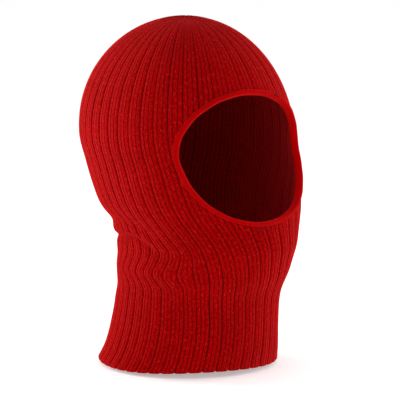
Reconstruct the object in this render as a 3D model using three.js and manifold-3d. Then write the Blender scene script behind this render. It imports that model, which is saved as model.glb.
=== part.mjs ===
// A rib-knit ski mask with one face opening, in the shape it takes on a head.
// Millimetres, +Z up. The wearer looks along -Y. The origin is where the top of the head
// meets the inside of the crown, so the knit stands WALL above it and hangs below it.

import * as THREE from 'three';
import * as BufferGeometryUtils from 'three/addons/utils/BufferGeometryUtils.js';
import Module from 'manifold-3d';

const wasm = await Module();
wasm.setup();

// Knit
const WALL = 3; // thickness of the worn rib knit
const CLEARANCE = 0.5; // between the knit and what is sewn to it

// Heights below the origin
const WIDEST_DROP = 101; // widest level of the hood
const CHIN_DROP = 185; // where the hood turns under the chin and in at the nape
const HEM_DROP = 298; // lower edge of the neck tube

// Outside sizes of the sections
const HOOD_WIDTH = 162;
const HOOD_FRONT = 102; // reach in front of the origin at the widest level
const HOOD_BACK = 104;
const JAW_WIDTH = 140;
const CHIN_REACH = 113.5;
const NAPE_REACH = 57;
const NECK_WIDTH = 134;
const NECK_FRONT = 91;
const NECK_BACK = 59;
const HEM_WIDTH = 158;
const HEM_FRONT = 78;
const HEM_BACK = 77;

// Crown
const CROWN_SETBACK = 1; // of the crown's middle behind the origin
const DOME_LEAN = 10; // how far the dome would lean back over its height
const CROWN_EYE = 5; // radius of the eye that the gathered loops leave
const GATHER_YARN = 2.2; // diameter of the doubled yarn

// Face opening, at the lip of the binding
const OPENING_TOP = 58;
const OPENING_BOTTOM = 164;
const OPENING_HALF_ANGLE = THREE.MathUtils.degToRad(49);

// Binding and its seam
const TAPE = 1.2; // thickness of the tape
const BINDING_LEG = 5; // width of the tape on each side of the knit
const THREAD = 0.8; // diameter of a seam thread
const THREAD_GAP = 0.3; // between a thread and the cloth it lies on
const BARTACK_LENGTH = 7;
const BARTACK_THICKNESS = 0.8;
const BARTACK_TURN = THREE.MathUtils.degToRad(205); // round the opening from its lowest point

// Care label
const LABEL_WIDTH = 34;
const LABEL_HEIGHT = 24;
const LABEL_THICKNESS = 0.7;
const LABEL_RISE = 14; // of its lower edge above the hem
const LABEL_SEAM_INSET = 3; // of each line of stitches from the label's side

// Fineness of the facets
const COLUMNS = 56;
const NECK_ROWS = 18;
const DOME_ROWS = 11;
const OPENING_STEPS = 60;
const THREAD_SIDES = 6;

const RED = { color: 0xa50c0e, roughness: 0.95, metalness: 0 };
const BRIGHT_RED = { color: 0xc2100f, roughness: 0.85, metalness: 0 };
const WHITE = { color: 0xe8e6e0, roughness: 0.7, metalness: 0 };

const DOME_HEIGHT = WIDEST_DROP + WALL;

/** Height between two named levels, as a share of the way down. */
function between(upper, lower, share) {
  return -(upper + (lower - upper) * share);
}

// Sections from the hem to the widest level. fullness squares a section's corners.
const SECTIONS = [
  { z: -HEM_DROP, width: HEM_WIDTH, front: HEM_FRONT, back: HEM_BACK, fullness: 0.02 },
  { z: between(CHIN_DROP, HEM_DROP, 0.87), width: HEM_WIDTH - 9, front: HEM_FRONT + 4.5,
    back: HEM_BACK - 8, fullness: 0.03 },
  { z: between(CHIN_DROP, HEM_DROP, 0.68), width: NECK_WIDTH + 6, front: NECK_FRONT - 4.5,
    back: NECK_BACK + 4.5, fullness: 0.04 },
  { z: between(CHIN_DROP, HEM_DROP, 0.46), width: NECK_WIDTH, front: NECK_FRONT,
    back: NECK_BACK, fullness: 0.06 },
  { z: between(CHIN_DROP, HEM_DROP, 0.22), width: NECK_WIDTH + 1, front: CHIN_REACH - 8,
    back: NAPE_REACH - 1.5, fullness: 0.08 },
  { z: -CHIN_DROP, width: JAW_WIDTH, front: CHIN_REACH, back: NAPE_REACH, fullness: 0.1 },
  { z: between(WIDEST_DROP, CHIN_DROP, 0.64), width: HOOD_WIDTH - 7, front: CHIN_REACH - 1,
    back: HOOD_BACK - 25, fullness: 0.11 },
  { z: between(WIDEST_DROP, CHIN_DROP, 0.3), width: HOOD_WIDTH - 2, front: HOOD_FRONT + 7,
    back: HOOD_BACK - 10.5, fullness: 0.12 },
  { z: -WIDEST_DROP, width: HOOD_WIDTH, front: HOOD_FRONT, back: HOOD_BACK, fullness: 0.12 },
];

/** Slopes that carry a curve through its points without overshoot, with a given last slope. */
function curveSlopes(z, v, lastSlope) {
  const chord = z.slice(1).map((top, i) => (v[i + 1] - v[i]) / (top - z[i]));
  const inner = chord.slice(1).map((above, i) => {
    const below = chord[i];
    return above * below > 0 ? (2 * above * below) / (above + below) : 0;
  });
  return [chord[0], ...inner, lastSlope];
}

/** A smooth curve through one size of the sections, as a function of height. */
function sectionCurve(key, lastSlope) {
  const z = SECTIONS.map((section) => section.z);
  const v = SECTIONS.map((section) => section[key]);
  const slope = curveSlopes(z, v, lastSlope);
  return (height) => {
    let i = 0;
    while (i < z.length - 2 && height > z[i + 1]) i += 1;
    const step = z[i + 1] - z[i];
    const u = (height - z[i]) / step;
    const rise = u * u * (3 - 2 * u);
    const start = u * (1 - u) * (1 - u) * step * slope[i];
    const end = u * u * (u - 1) * step * slope[i + 1];
    return v[i] * (1 - rise) + v[i + 1] * rise + start + end;
  };
}

const lean = DOME_LEAN / DOME_HEIGHT;
const widthAt = sectionCurve('width', 0);
const frontAt = sectionCurve('front', -lean);
const backAt = sectionCurve('back', lean);
const fullnessAt = sectionCurve('fullness', 0);

/** The ring of the outside at one height: half sizes, middle and fullness. */
function ringAt(z) {
  const low = Math.min(z, -WIDEST_DROP);
  const rise = Math.min(Math.max((z + WIDEST_DROP) / DOME_HEIGHT, 0), 1);
  const shrink = Math.sqrt(1 - rise * rise);
  const middle = (backAt(low) - frontAt(low)) / 2;
  const settle = CROWN_SETBACK - middle - DOME_LEAN;
  return {
    halfWidth: (widthAt(low) / 2) * shrink,
    halfLength: ((backAt(low) + frontAt(low)) / 2) * shrink,
    middle: middle + (rise > 0 ? DOME_LEAN * rise + settle * rise * rise : 0),
    fullness: fullnessAt(low),
  };
}

/** A point of the outside. The angle runs from the front (0) towards the wearer's right. */
function outside(angle, z) {
  const ring = ringAt(z);
  const sin = Math.sin(angle);
  const cos = Math.cos(angle);
  const x = -ring.halfWidth * sin * (1 + ring.fullness * cos * cos);
  const y = ring.middle - ring.halfLength * cos * (1 + ring.fullness * sin * sin);
  return new THREE.Vector3(x, y, z);
}

/** Outward direction of the outside at a point below the crown's eye. */
function outward(angle, z) {
  const step = 0.01;
  const along = outside(angle + step, z).sub(outside(angle - step, z));
  const up = outside(angle, z + step * 10).sub(outside(angle, z - step * 10));
  return up.cross(along).normalize();
}

/** A point at a depth under the outside; a negative depth stands above it. */
function skin(angle, z, depth) {
  return outside(angle, z).addScaledVector(outward(angle, z), -depth);
}

/** An indexed geometry from points and triangles. */
function meshOf(points, index) {
  const geometry = new THREE.BufferGeometry();
  const positions = points.flatMap((p) => [p.x, p.y, p.z]);
  geometry.setAttribute('position', new THREE.Float32BufferAttribute(positions, 3));
  geometry.setIndex(index);
  return facingOut(geometry);
}

/** Triangles of the band between two rings of a loft. */
function band(first, second, count) {
  const index = [];
  for (let i = 0; i < count; i += 1) {
    const j = (i + 1) % count;
    index.push(first + i, first + j, second + j, first + i, second + j, second + i);
  }
  return index;
}

/** A solid through rings of points whose last ring meets the first. */
function closedLoft(rings) {
  const count = rings[0].length;
  const index = rings.flatMap((_, r) => band(r * count, ((r + 1) % rings.length) * count, count));
  return meshOf(rings.flat(), index);
}

/** A solid through rings of points, closed at each end by a fan round a middle point. */
function cappedLoft(rings, firstMiddle, lastMiddle) {
  const count = rings[0].length;
  const last = (rings.length - 1) * count;
  const index = rings.slice(1).flatMap((_, r) => band(r * count, (r + 1) * count, count));
  for (let i = 0; i < count; i += 1) {
    const j = (i + 1) % count;
    index.push(last + count, j, i, last + count + 1, last + i, last + j);
  }
  return meshOf([...rings.flat(), firstMiddle, lastMiddle], index);
}

/** Volume inside a closed geometry, negative when its faces point in. */
function signedVolume(geometry) {
  const position = geometry.attributes.position;
  const corner = (i) => new THREE.Vector3().fromBufferAttribute(position, geometry.index.getX(i));
  let volume = 0;
  for (let i = 0; i < geometry.index.count; i += 3) {
    volume += corner(i).dot(corner(i + 1).cross(corner(i + 2))) / 6;
  }
  return volume;
}

/** The same geometry with its faces pointing out. */
function facingOut(geometry) {
  if (signedVolume(geometry) < 0) geometry.index.array.reverse();
  return geometry;
}

/** A manifold solid from a closed geometry. */
function toSolid(geometry) {
  const bare = geometry.clone();
  bare.deleteAttribute('normal');
  bare.deleteAttribute('uv');
  const merged = BufferGeometryUtils.mergeVertices(bare, 1e-4);
  return new wasm.Manifold(new wasm.Mesh({
    numProp: 3,
    vertProperties: new Float32Array(merged.attributes.position.array),
    triVerts: new Uint32Array(merged.index.array),
  }));
}

/** A geometry from a manifold solid. */
function toGeometry(solid) {
  const mesh = solid.getMesh();
  const geometry = new THREE.BufferGeometry();
  geometry.setAttribute('position', new THREE.BufferAttribute(mesh.vertProperties, 3));
  geometry.setIndex(new THREE.BufferAttribute(mesh.triVerts, 1));
  return geometry;
}

/** Heights of the rows, from the hem to the rim of the crown's eye. */
function rowHeights() {
  const eyeShare = CROWN_EYE / (HOOD_WIDTH / 2);
  const lastTurn = Math.acos(eyeShare);
  const heights = [];
  for (let i = 0; i < NECK_ROWS; i += 1) {
    heights.push(-HEM_DROP + ((HEM_DROP - WIDEST_DROP) * i) / NECK_ROWS);
  }
  for (let i = 0; i <= DOME_ROWS; i += 1) {
    heights.push(-WIDEST_DROP + DOME_HEIGHT * Math.sin((lastTurn * i) / DOME_ROWS));
  }
  return heights;
}

/** One ring of the knit at a height and depth. */
function knitRing(z, depth) {
  return Array.from({ length: COLUMNS }, (_, i) => skin((2 * Math.PI * i) / COLUMNS, z, depth));
}

/** Angle and height on the outside for a turn round the face opening, grown by a margin. */
function openingPoint(turn, margin) {
  const halfHeight = (OPENING_BOTTOM - OPENING_TOP) / 2;
  const grow = 1 + margin / halfHeight;
  const z = -(OPENING_TOP + halfHeight) - halfHeight * grow * Math.cos(turn);
  return { angle: OPENING_HALF_ANGLE * grow * Math.sin(turn), z };
}

/** The plug of air that the face opening takes out of the knit. */
function openingPlug() {
  const reach = 3 * WALL;
  const middleZ = -(OPENING_TOP + OPENING_BOTTOM) / 2;
  const ring = (size, depth) => Array.from({ length: OPENING_STEPS }, (_, i) => {
    const edge = openingPoint((2 * Math.PI * i) / OPENING_STEPS, TAPE + CLEARANCE);
    return skin(edge.angle * size, middleZ + (edge.z - middleZ) * size, depth);
  });
  const sizes = [0.25, 0.5, 0.75, 1];
  const rings = [
    ...sizes.map((size) => ring(size, -reach)),
    ...sizes.reverse().map((size) => ring(size, WALL + reach)),
  ];
  return cappedLoft(rings, skin(0, middleZ, -reach), skin(0, middleZ, WALL + reach));
}

/** The hood and neck tube: a wall open at the hem, the face and the crown's eye. */
function knitBody() {
  const heights = rowHeights();
  const outer = heights.map((z) => knitRing(z, 0));
  const inner = heights.map((z) => knitRing(z, WALL)).reverse();
  const wall = toSolid(closedLoft([...outer, ...inner]));
  return toGeometry(wall.subtract(toSolid(openingPlug())));
}

/** A ring that follows the face opening; the profile gives margins and depths. */
function openingRing(profile, steps = OPENING_STEPS) {
  return closedLoft(profile.map(([margin, depth]) => Array.from({ length: steps }, (_, i) => {
    const { angle, z } = openingPoint((2 * Math.PI * i) / steps, margin);
    return skin(angle, z, depth);
  })));
}

/** The tape folded over the raw edge of the opening, a U with the knit between its legs. */
function faceBinding() {
  const outerFace = -(CLEARANCE + TAPE);
  const innerFace = WALL + CLEARANCE + TAPE;
  return openingRing([
    [0, outerFace + TAPE / 2], [TAPE / 2, outerFace], [BINDING_LEG, outerFace],
    [BINDING_LEG, -CLEARANCE], [TAPE, -CLEARANCE], [TAPE, WALL + CLEARANCE],
    [BINDING_LEG, WALL + CLEARANCE], [BINDING_LEG, innerFace], [TAPE / 2, innerFace],
    [0, innerFace - TAPE / 2],
  ]);
}

/** A seam thread that runs round the opening, its middle at a depth. */
function seamThread(depth) {
  const margin = BINDING_LEG * 0.62;
  const radius = THREAD / 2;
  const profile = Array.from({ length: THREAD_SIDES }, (_, i) => {
    const turn = (2 * Math.PI * i) / THREAD_SIDES;
    return [margin + radius * Math.cos(turn), depth + radius * Math.sin(turn)];
  });
  return openingRing(profile);
}

/** Depth of the middle of the seam thread outside the binding. */
function needleDepth() {
  return -(CLEARANCE + TAPE + THREAD_GAP + THREAD / 2);
}

/** A thin pad between two depths over a patch of the mask, on a grid of angles and heights. */
function pad(rows, columns, place, nearDepth, farDepth) {
  const points = [];
  for (const depth of [nearDepth, farDepth]) {
    for (let r = 0; r <= rows; r += 1) {
      for (let c = 0; c <= columns; c += 1) {
        const { angle, z } = place(r / rows, c / columns);
        points.push(skin(angle, z, depth));
      }
    }
  }
  const at = (side, r, c) => (side * (rows + 1) + r) * (columns + 1) + c;
  const index = [];
  const quad = (i, j, k, l) => index.push(i, j, k, i, k, l);
  for (let r = 0; r < rows; r += 1) {
    for (let c = 0; c < columns; c += 1) {
      quad(at(0, r, c), at(0, r, c + 1), at(0, r + 1, c + 1), at(0, r + 1, c));
      quad(at(1, r, c), at(1, r + 1, c), at(1, r + 1, c + 1), at(1, r, c + 1));
    }
    quad(at(0, r, 0), at(0, r + 1, 0), at(1, r + 1, 0), at(1, r, 0));
    quad(at(0, r, columns), at(1, r, columns), at(1, r + 1, columns), at(0, r + 1, columns));
  }
  for (let c = 0; c < columns; c += 1) {
    quad(at(0, 0, c), at(1, 0, c), at(1, 0, c + 1), at(0, 0, c + 1));
    quad(at(0, rows, c), at(0, rows, c + 1), at(1, rows, c + 1), at(1, rows, c));
  }
  return meshOf(points, index);
}

/** The tack over the joint of the binding, on its outer leg. */
function bindingBartack() {
  const halfHeight = (OPENING_BOTTOM - OPENING_TOP) / 2;
  const halfTurn = BARTACK_LENGTH / 2 / halfHeight;
  const place = (across, along) => openingPoint(
    BARTACK_TURN + halfTurn * (2 * along - 1),
    TAPE + (BINDING_LEG * 0.62 - THREAD - THREAD_GAP - TAPE) * across,
  );
  const base = -(CLEARANCE + TAPE + THREAD_GAP);
  return pad(1, 4, place, base, base - BARTACK_THICKNESS);
}

/** Height of the outside where the wall of the crown's eye stands. */
function crownRimHeight() {
  return rowHeights().at(-1);
}

/** The yarn drawn up through the last loops, with its knot under the crown. */
function crownGatherYarn() {
  const radius = GATHER_YARN / 2;
  const ringRadius = CROWN_EYE - 2 * CLEARANCE - radius;
  const yarn = new THREE.TorusGeometry(ringRadius, radius, 10, 28);
  const knot = new THREE.SphereGeometry(radius * 1.35, 12, 8);
  knot.translate(ringRadius, 0, -radius * 0.6);
  return toGeometry(toSolid(yarn).add(toSolid(knot)));
}

/** Places a point of the label: across 0 to 1 up the label, along 0 to 1 over its width. */
function labelPlace(left, right, low, high) {
  const reach = NECK_BACK + 10;
  return (up, along) => ({
    angle: Math.PI + (left + (right - left) * along) / reach,
    z: -HEM_DROP + low + (high - low) * up,
  });
}

/** The blank label inside the back of the neck. */
function careLabel() {
  const half = LABEL_WIDTH / 2;
  const place = labelPlace(-half, half, LABEL_RISE, LABEL_RISE + LABEL_HEIGHT);
  const near = WALL + CLEARANCE;
  return pad(4, 8, place, near, near + LABEL_THICKNESS);
}

/** One line of the label's stitches, on the side of the label away from the knit. */
function labelStitch(side) {
  const middle = side * (LABEL_WIDTH / 2 - LABEL_SEAM_INSET);
  const half = THREAD / 2;
  const place = labelPlace(middle - half, middle + half, LABEL_RISE + 1,
    LABEL_RISE + LABEL_HEIGHT - 1);
  const near = WALL + CLEARANCE + LABEL_THICKNESS + THREAD_GAP;
  return pad(4, 1, place, near, near + THREAD);
}

/** A named part in its own material. */
function part(name, geometry, finish) {
  geometry.computeVertexNormals();
  const mesh = new THREE.Mesh(geometry, new THREE.MeshStandardMaterial(finish));
  mesh.name = name;
  return mesh;
}

const mask = new THREE.Group();
mask.add(part('knit_body', knitBody(), RED));
mask.add(part('face_binding', faceBinding(), BRIGHT_RED));
mask.add(part('binding_needle_thread', seamThread(needleDepth()), RED));
mask.add(part('binding_looper_thread', seamThread(WALL - needleDepth()), RED));
mask.add(part('binding_bartack', bindingBartack(), RED));

const gatherYarn = part('crown_gather_yarn', crownGatherYarn(), RED);
gatherYarn.position.set(0, CROWN_SETBACK, crownRimHeight() - WALL / 2);
mask.add(gatherYarn);

mask.add(part('care_label', careLabel(), WHITE));
mask.add(part('label_stitch_left', labelStitch(-1), WHITE));
mask.add(part('label_stitch_right', labelStitch(1), WHITE));

export default mask;
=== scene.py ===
"""Rib-knit ski mask with one bound face opening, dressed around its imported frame."""

from __future__ import annotations

import logging
import math
from dataclasses import dataclass
from enum import Enum
from typing import Iterable, Sequence

import bmesh
import bpy
import numpy as np
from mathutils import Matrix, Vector

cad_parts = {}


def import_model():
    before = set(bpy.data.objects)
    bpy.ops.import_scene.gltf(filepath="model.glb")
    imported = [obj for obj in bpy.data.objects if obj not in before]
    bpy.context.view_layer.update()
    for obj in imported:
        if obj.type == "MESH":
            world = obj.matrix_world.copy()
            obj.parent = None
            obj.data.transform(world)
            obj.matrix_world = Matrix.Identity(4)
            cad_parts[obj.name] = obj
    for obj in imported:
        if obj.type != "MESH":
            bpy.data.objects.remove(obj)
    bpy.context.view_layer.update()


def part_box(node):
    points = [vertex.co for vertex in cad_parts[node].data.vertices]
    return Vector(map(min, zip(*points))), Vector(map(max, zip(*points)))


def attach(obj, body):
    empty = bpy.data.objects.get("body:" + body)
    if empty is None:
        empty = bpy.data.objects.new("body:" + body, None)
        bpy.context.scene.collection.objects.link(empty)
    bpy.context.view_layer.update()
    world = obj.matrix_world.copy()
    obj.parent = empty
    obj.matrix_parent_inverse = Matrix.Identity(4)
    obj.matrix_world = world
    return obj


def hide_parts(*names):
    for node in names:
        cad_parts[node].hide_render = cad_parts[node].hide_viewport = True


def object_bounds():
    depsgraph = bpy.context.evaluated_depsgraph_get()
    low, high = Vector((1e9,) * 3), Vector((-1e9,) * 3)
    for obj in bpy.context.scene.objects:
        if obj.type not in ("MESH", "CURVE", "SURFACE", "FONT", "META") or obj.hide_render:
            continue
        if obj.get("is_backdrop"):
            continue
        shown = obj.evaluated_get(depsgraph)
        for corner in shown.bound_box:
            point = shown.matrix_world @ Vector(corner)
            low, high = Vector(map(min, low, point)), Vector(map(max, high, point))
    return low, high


LOG = logging.getLogger("ski_mask")
MM = 0.001
TURN = 2 * math.pi


class Side(Enum):
    """The two faces of the knit."""

    OUTER = 1
    INNER = -1


# --------------------------------------------------------------------------- small helpers


def smooth(low: float, high: float, value: np.ndarray) -> np.ndarray:
    """A soft step.

    Args:
        low: Where the step starts, at 0.
        high: Where it ends, at 1.
        value: The values to place on the step.

    Returns:
        The step's height at each value.
    """
    share = np.clip((value - low) / (high - low), 0.0, 1.0)
    return share * share * (3 - 2 * share)


def bell(value: np.ndarray, middle: float, width: float) -> np.ndarray:
    """A bell of height 1 round a middle, in the value's own unit."""
    return np.exp(-(((value - middle) / width) ** 2))


def mesh_object(
    name: str, points: np.ndarray, faces: Sequence, edges: Sequence = ()
) -> bpy.types.Object:
    """Makes a mesh object at the origin.

    Args:
        name: The piece's name.
        points: One row of metres for each vertex.
        faces: Vertex numbers of each face.
        edges: Vertex numbers of each loose edge.

    Returns:
        The object, linked to the scene.
    """
    mesh = bpy.data.meshes.new(name)
    mesh.from_pydata([tuple(p) for p in points], list(edges), [tuple(f) for f in faces])
    mesh.validate()
    mesh.shade_smooth()
    piece = bpy.data.objects.new(name, mesh)
    bpy.context.scene.collection.objects.link(piece)
    return piece


def turn_faces_out(mesh: bpy.types.Mesh) -> None:
    """Turns the faces of a closed mesh so that they point out.

    Args:
        mesh: The mesh to turn.
    """
    edit = bmesh.new()
    edit.from_mesh(mesh)
    bmesh.ops.recalc_face_normals(edit, faces=edit.faces)
    edit.to_mesh(mesh)
    edit.free()


def write_point_attribute(mesh: bpy.types.Mesh, name: str, values: np.ndarray) -> None:
    """Stores a number or a vector on each vertex.

    Args:
        mesh: The mesh to write on.
        name: The attribute's name.
        values: One number or one row of three for each vertex.
    """
    kind, key = ("FLOAT", "value") if values.ndim == 1 else ("FLOAT_VECTOR", "vector")
    layer = mesh.attributes.new(name, kind, "POINT")
    layer.data.foreach_set(key, values.astype(np.float32).ravel())


def write_uv(mesh: bpy.types.Mesh, name: str, loops: np.ndarray) -> None:
    """Stores a UV map from one row for each face corner."""
    layer = mesh.uv_layers.new(name=name)
    layer.data.foreach_set("uv", loops.astype(np.float32).ravel())


def settle(piece: bpy.types.Object, slot: str, *nodes: str) -> bpy.types.Object:
    """Hands a finished piece to the frame.

    Args:
        piece: The piece, with its material on.
        slot: The name of a material slot; it is not used.
        nodes: The plain solids that it stands for.

    Returns:
        The same piece.
    """
    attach(piece, "root")
    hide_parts(*nodes)
    LOG.info("%s: %d faces", piece.name, len(piece.data.polygons))
    return piece


# --------------------------------------------------------------------------- the worn shape


@dataclass(frozen=True)
class MaskShape:
    """The worn mask as a smooth skin over an angle and a height, as the frame has it.

    The angle is 0 at the front and grows towards the wearer's right. Sizes are in metres.
    """

    wall: float = 3 * MM
    clearance: float = 0.5 * MM
    widest: float = -101 * MM
    chin: float = -185 * MM
    hem: float = -298 * MM
    crown_setback: float = 1 * MM
    dome_lean: float = 10 * MM
    opening_top: float = -58 * MM
    opening_bottom: float = -164 * MM
    opening_half_angle: float = math.radians(47.4)
    tape: float = 1.2 * MM
    binding_leg: float = 5 * MM

    @property
    def half_width(self) -> float:
        """Half the width at the widest level."""
        return self.sections()[-1, 1] / 2

    @property
    def dome_height(self) -> float:
        """Height of the outside above the widest level."""
        return self.wall - self.widest

    @property
    def opening_half_height(self) -> float:
        """Half the height of the face opening."""
        return (self.opening_top - self.opening_bottom) / 2

    @property
    def opening_middle(self) -> float:
        """Height of the middle of the face opening."""
        return (self.opening_top + self.opening_bottom) / 2

    def sections(self) -> np.ndarray:
        """The sections that the skin runs through, from the hem up.

        Returns:
            One row for each section: height, width, front, back and fullness.
        """
        neck, hood = self.chin - self.hem, self.widest - self.chin
        rows = [
            (self.hem, 158, 78, 77, 0.02),
            (self.chin - 0.87 * neck, 149, 82.5, 69, 0.03),
            (self.chin - 0.68 * neck, 140, 86.5, 63.5, 0.04),
            (self.chin - 0.46 * neck, 134, 91, 59, 0.06),
            (self.chin - 0.22 * neck, 135, 105.5, 55.5, 0.08),
            (self.chin, 140, 113.5, 57, 0.10),
            (self.widest - 0.64 * hood, 155, 112.5, 79, 0.11),
            (self.widest - 0.30 * hood, 160, 109, 93.5, 0.12),
            (self.widest, 162, 102, 104, 0.12),
        ]
        table = np.array(rows)
        table[:, 1:4] *= MM
        return table

    def follow(self, column: int, z: np.ndarray, last_slope: float) -> np.ndarray:
        """A smooth curve through one size of the sections.

        Args:
            column: The size's column in the sections.
            z: Heights, no higher than the widest level.
            last_slope: Slope at the widest level.

        Returns:
            The size at each height.
        """
        table = self.sections()
        at, value = table[:, 0], table[:, column]
        chord = np.diff(value) / np.diff(at)
        product, total = chord[:-1] * chord[1:], chord[:-1] + chord[1:]
        inner = np.where(product > 0, 2 * product / np.where(total == 0, 1, total), 0.0)
        slope = np.array([chord[0], *inner, last_slope])
        i = np.clip(np.searchsorted(at, z, side="left") - 1, 0, len(at) - 2)
        step = at[i + 1] - at[i]
        u = (z - at[i]) / step
        rise = u * u * (3 - 2 * u)
        start = u * (1 - u) ** 2 * step * slope[i]
        end = u * u * (u - 1) * step * slope[i + 1]
        return value[i] * (1 - rise) + value[i + 1] * rise + start + end

    def outside(self, angle: np.ndarray, z: np.ndarray) -> np.ndarray:
        """Points of the smooth outside.

        Args:
            angle: Angles of the points.
            z: Their heights.

        Returns:
            One point for each angle and height.
        """
        low = np.minimum(z, self.widest)
        rise = np.clip((z - self.widest) / self.dome_height, 0.0, 1.0)
        lean = self.dome_lean / self.dome_height
        width = self.follow(1, low, 0.0)
        front = self.follow(2, low, -lean)
        back = self.follow(3, low, lean)
        fullness = self.follow(4, low, 0.0)
        shrink = np.sqrt(1 - rise * rise)
        middle = (back - front) / 2
        pull = self.crown_setback - middle - self.dome_lean
        middle = middle + np.where(rise > 0, self.dome_lean * rise + pull * rise * rise, 0.0)
        sin, cos = np.sin(angle), np.cos(angle)
        x = -width / 2 * shrink * sin * (1 + fullness * cos * cos)
        y = middle - (back + front) / 2 * shrink * cos * (1 + fullness * sin * sin)
        return np.stack([x, y, np.broadcast_to(z, x.shape)], axis=-1)

    def outward(self, angle: np.ndarray, z: np.ndarray) -> np.ndarray:
        """Unit directions out of the smooth outside.

        Args:
            angle: Angles of the points.
            z: Their heights.

        Returns:
            One direction for each point.
        """
        turn, climb = 0.01, 0.1 * MM
        along = self.outside(angle + turn, z) - self.outside(angle - turn, z)
        up = self.outside(angle, z + climb) - self.outside(angle, z - climb)
        normal = np.cross(up, along)
        return normal / np.linalg.norm(normal, axis=-1, keepdims=True)

    def skin(self, angle: np.ndarray, z: np.ndarray, depth: np.ndarray) -> np.ndarray:
        """Points at a depth under the outside."""
        depth = np.broadcast_to(depth, np.shape(angle))[..., None]
        return self.outside(angle, z) - self.outward(angle, z) * depth

    def opening(self, turn: np.ndarray, margin: np.ndarray) -> tuple[np.ndarray, np.ndarray]:
        """Places round the face opening.

        Args:
            turn: How far round the opening, from its lowest point.
            margin: Distance outside the opening's outline.

        Returns:
            The angles and the heights.
        """
        grow = 1 + margin / self.opening_half_height
        z = self.opening_middle - self.opening_half_height * grow * np.cos(turn)
        return self.opening_half_angle * grow * np.sin(turn), z

    def opening_share(self, angle: np.ndarray, z: np.ndarray, margin: float) -> np.ndarray:
        """Where points lie against the face opening.

        Args:
            angle: Angles of the points.
            z: Their heights.
            margin: How much the opening is grown.

        Returns:
            1 on the outline, less inside it and more outside.
        """
        grow = 1 + margin / self.opening_half_height
        across = angle / (self.opening_half_angle * grow)
        up = (z - self.opening_middle) / (self.opening_half_height * grow)
        return np.hypot(across, up)


@dataclass(frozen=True)
class Drape:
    """How the worn cloth leaves the smooth skin: the fold at the nape and the slack below it."""

    crease: float = -183 * MM
    lip: float = 1.6 * MM
    lip_drop: float = 1.7 * MM
    tuck: float = 2.4 * MM
    nape_hollow: float = 2.4 * MM
    bulge: float = 1.3 * MM
    pinch: float = 0.9 * MM
    under_chin: float = 0.4 * MM
    cheek_dip: float = 7 * MM
    side_rise: float = 3.5 * MM
    counter_sway_level: float = -191 * MM
    slack_level: float = -213 * MM
    under_chin_level: float = -218 * MM
    pinch_level: float = -231 * MM
    sway: float = math.radians(6.5)

    def side(self, angle: np.ndarray) -> np.ndarray:
        """Distance from the front, from 0 to half a turn."""
        return np.abs((angle + math.pi) % TURN - math.pi)

    def reach(self, angle: np.ndarray) -> np.ndarray:
        """Where the fold is: 0 at the cheeks, 1 round the nape."""
        return smooth(math.radians(66), math.radians(92), self.side(angle))

    def crease_height(self, angle: np.ndarray) -> np.ndarray:
        """Height of the crease, which dips where it runs out towards the jaw.

        Args:
            angle: Angles round the neck.

        Returns:
            The crease's height at each angle.
        """
        side = self.side(angle)
        dip = self.cheek_dip * (1 - smooth(math.radians(70), math.radians(95), side))
        return self.crease + self.side_rise * bell(side, math.radians(98), math.radians(16)) - dip

    def swing(self, angle: np.ndarray, z: np.ndarray) -> np.ndarray:
        """How far the ribs swing towards the nape in the slack cloth.

        Args:
            angle: Angles of the points.
            z: Their heights.

        Returns:
            The swing of each point, as an angle.
        """
        side = self.side(angle)
        where = smooth(math.radians(38), math.radians(66), side)
        where = where * (1 - smooth(math.radians(118), math.radians(150), side))
        width = np.where(z < self.slack_level, 7 * MM, 11 * MM)
        shift = bell(z, self.slack_level, width) - 0.45 * bell(z, self.counter_sway_level, 9 * MM)
        return np.sign(np.sin(angle)) * self.sway * where * shift

    def bend(self, angle: np.ndarray, z: np.ndarray) -> tuple[np.ndarray, np.ndarray]:
        """The cloth's move out of the skin and down.

        Args:
            angle: Angles of the points.
            z: Their heights on the smooth skin.

        Returns:
            The moves outward and upward, in metres.
        """
        reach = self.reach(angle)
        over = z - self.crease_height(angle)
        out = self.lip * bell(over, 3.5 * MM, 4.5 * MM) - self.tuck * bell(over, -4 * MM, 4.2 * MM)
        out = out - self.nape_hollow * bell(over, 8 * MM, 7 * MM)
        slack = self.bulge * bell(z, self.slack_level, 8 * MM)
        slack = slack - self.pinch * bell(z, self.pinch_level, 6 * MM)
        front = 1 - smooth(math.radians(20), math.radians(60), self.side(angle))
        under_chin = self.under_chin * bell(z, self.under_chin_level, 9 * MM) * front
        slack_side = smooth(math.radians(40), math.radians(70), self.side(angle))
        drop = -self.lip_drop * bell(over, 2 * MM, 5.2 * MM)
        return out * reach + slack * slack_side + under_chin, drop * reach


@dataclass(frozen=True)
class RibFlow:
    """How the ribs run over the skin: even round each level, with a slow turn up the head."""

    shape: MaskShape
    drape: Drape
    ribs: int = 42
    twist: float = -3.5
    twist_start: float = -275 * MM
    twist_end: float = -80 * MM
    spread: float = 0.2
    face_spread: float = 0.75
    face_level: float = -158 * MM
    dense: int = 960

    def columns(self, z: float, ribs: np.ndarray) -> np.ndarray:
        """Angles of rib numbers at one level.

        Args:
            z: Height of the level.
            ribs: Rib numbers, with fractions between two grooves.

        Returns:
            One angle for each rib number.
        """
        angle = np.linspace(-math.pi, math.pi, self.dense + 1)
        ring = self.shape.outside(angle, np.full_like(angle, z))
        length = np.concatenate([[0.0], np.cumsum(np.linalg.norm(np.diff(ring, axis=0), axis=1))])
        share = length / length[-1] - 0.5
        turned = self.twist * float(smooth(self.twist_start, self.twist_end, np.array(z)))
        spread = self.spread + self.face_spread * float(bell(np.array(z), self.face_level, 36 * MM))
        number = share * self.ribs + turned - spread * np.sin(TURN * share)
        lap = np.floor((ribs - number[0]) / self.ribs)
        found = np.interp(ribs - lap * self.ribs, number, angle) + lap * TURN
        return found + self.drape.swing(found, np.full_like(found, z))


# --------------------------------------------------------------------------- node helpers


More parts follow.
